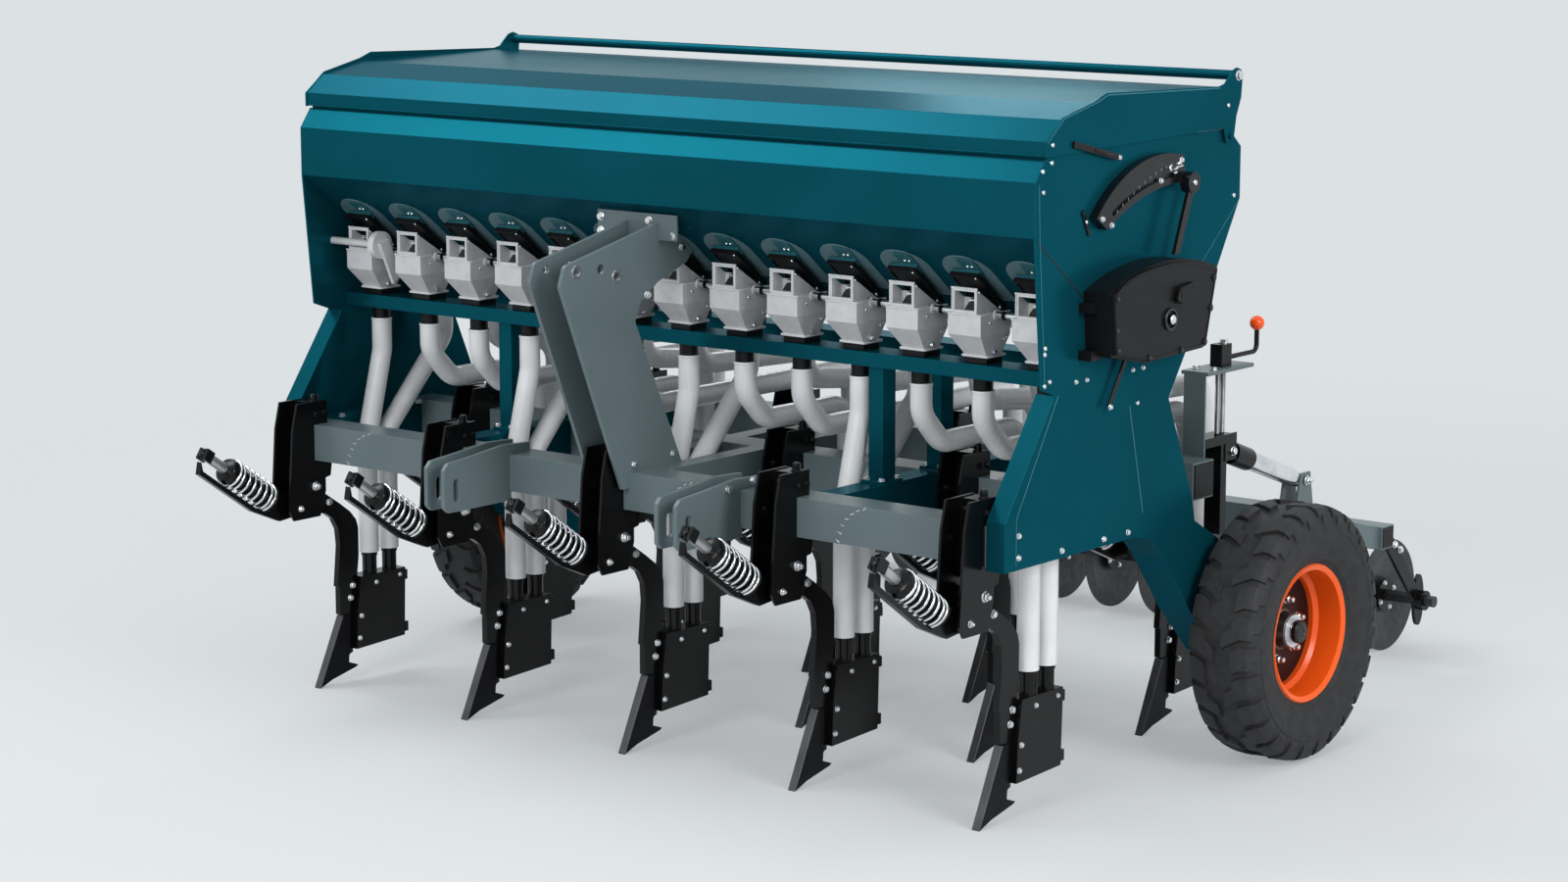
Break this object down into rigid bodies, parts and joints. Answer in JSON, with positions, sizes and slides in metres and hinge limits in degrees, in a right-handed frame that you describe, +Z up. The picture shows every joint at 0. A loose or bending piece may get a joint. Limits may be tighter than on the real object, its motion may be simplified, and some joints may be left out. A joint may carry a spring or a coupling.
{
  "type": "seed drill",
  "caption": "Mounted tine seed drill: folded-sheet hopper over metering units with hoses to sprung tines on three toolbars, two carrying wheels and a rear disc packer.",
  "frame": {"origin": "on the floor below the middle of the machine", "axes": "+X across the machine to its right when seen from the front left corner, +Y to the rear, +Z up"},
  "size_m": [3.518, 3.5012, 2.172],
  "materials": {
    "frame_grey": "satin grey paint",
    "teal": "gloss teal paint",
    "black_steel": "gloss black paint",
    "black_plastic": "moulded black",
    "casting": "cast, shot blasted",
    "zinc": "zinc plated",
    "chrome": "hard chromed",
    "hose": "semi-gloss light grey",
    "orange": "gloss orange",
    "orange_paint": "gloss orange paint",
    "tyre": "black rubber",
    "disc_steel": "dark scale",
    "wear_steel": "hardened, black"
  },
  "bodies": {
    "frame": {"calibration_crank": "casting", "crank_knobs": "orange", "drive_gearbox": "black_plastic", "hopper_front": "teal", "hopper_rear": "teal", "hopper_ridge": "teal", "jack_cranks": "black_steel", "jack_screws": "zinc", "jack_towers": "frame_grey", "lift_slides": "black_steel", "main_frame": "frame_grey", "meter_shafts": "zinc", "metering_housings": "casting", "outer_rails": "teal", "outlet_plates": "frame_grey", "rate_control": "black_plastic", "rear_frame": "frame_grey", "seed_boots": "black_steel", "seed_hoses": "hose", "shutters": "black_plastic", "side_plates": "teal", "spring_rods": "zinc", "three_point_hitch": "frame_grey", "tine_brackets": "black_steel", "tine_points": "wear_steel", "tine_shanks": "black_steel", "trip_springs": "zinc", "unit_carriers": "teal", "unit_feet": "black_plastic", "wheel_legs": "teal"},
    "wheel_left": {"tyre_left": "tyre", "rim_left": "orange_paint", "hub_left": "zinc"},
    "wheel_right": {"tyre_right": "tyre", "rim_right": "orange_paint", "hub_right": "zinc"},
    "lid": {"hopper_lid": "teal", "lid_latch": "black_steel"},
    "packer": {"packer_frame": "frame_grey", "packer_hangers": "black_steel"},
    "roller": {"packer_roller": "disc_steel"},
    "strut_barrel_l": {"strut_barrel_left": "black_steel"},
    "strut_barrel_r": {"strut_barrel_right": "black_steel"},
    "strut_rod_l": {"strut_rod_left": "chrome"},
    "strut_rod_r": {"strut_rod_right": "chrome"}
  },
  "joints": [
    {"name": "wheel_left_spin", "type": "hinge", "parent": "frame", "child": "wheel_left", "pos_m": [-1.6365, 0.06062, 0.408], "axis": [1, 0, 0], "continuous": true},
    {"name": "wheel_right_spin", "type": "hinge", "parent": "frame", "child": "wheel_right", "pos_m": [1.6365, 0.06062, 0.408], "axis": [1, 0, 0], "continuous": true},
    {"name": "lid_hinge", "type": "hinge", "parent": "frame", "child": "lid", "pos_m": [0, -0.12338, 1.964], "axis": [1, 0, 0], "range_deg": [-95, 0]},
    {"name": "packer_lift", "type": "hinge", "parent": "frame", "child": "packer", "pos_m": [0, 0.55062, 0.645], "axis": [1, 0, 0], "range_deg": [-4, 8]},
    {"name": "packer_spin", "type": "hinge", "parent": "packer", "child": "roller", "pos_m": [0, 1.55062, 0.2], "axis": [1, 0, 0], "continuous": true},
    {"name": "strut_left_pivot", "type": "hinge", "parent": "frame", "child": "strut_barrel_l", "pos_m": [-1.28, 0.25462, 0.915], "axis": [1, 0, 0], "range_deg": [-2, 4]},
    {"name": "strut_left_slide", "type": "slide", "parent": "strut_barrel_l", "child": "strut_rod_l", "axis": [0, 0.9439, -0.3302], "range_m": [-0.03, 0.015]},
    {"name": "strut_right_pivot", "type": "hinge", "parent": "frame", "child": "strut_barrel_r", "pos_m": [1.28, 0.25462, 0.915], "axis": [1, 0, 0], "range_deg": [-2, 4]},
    {"name": "strut_right_slide", "type": "slide", "parent": "strut_barrel_r", "child": "strut_rod_r", "axis": [0, 0.9439, -0.3302], "range_m": [-0.03, 0.015]}
  ],
  "couplings": [
    {"joint": "strut_left_pivot", "follows": "packer_lift", "ratio": 0.24841},
    {"joint": "strut_left_slide", "follows": "packer_lift", "m_per_rad": -0.16027},
    {"joint": "strut_right_pivot", "follows": "packer_lift", "ratio": 0.24841},
    {"joint": "strut_right_slide", "follows": "packer_lift", "m_per_rad": -0.16027}
  ]
}
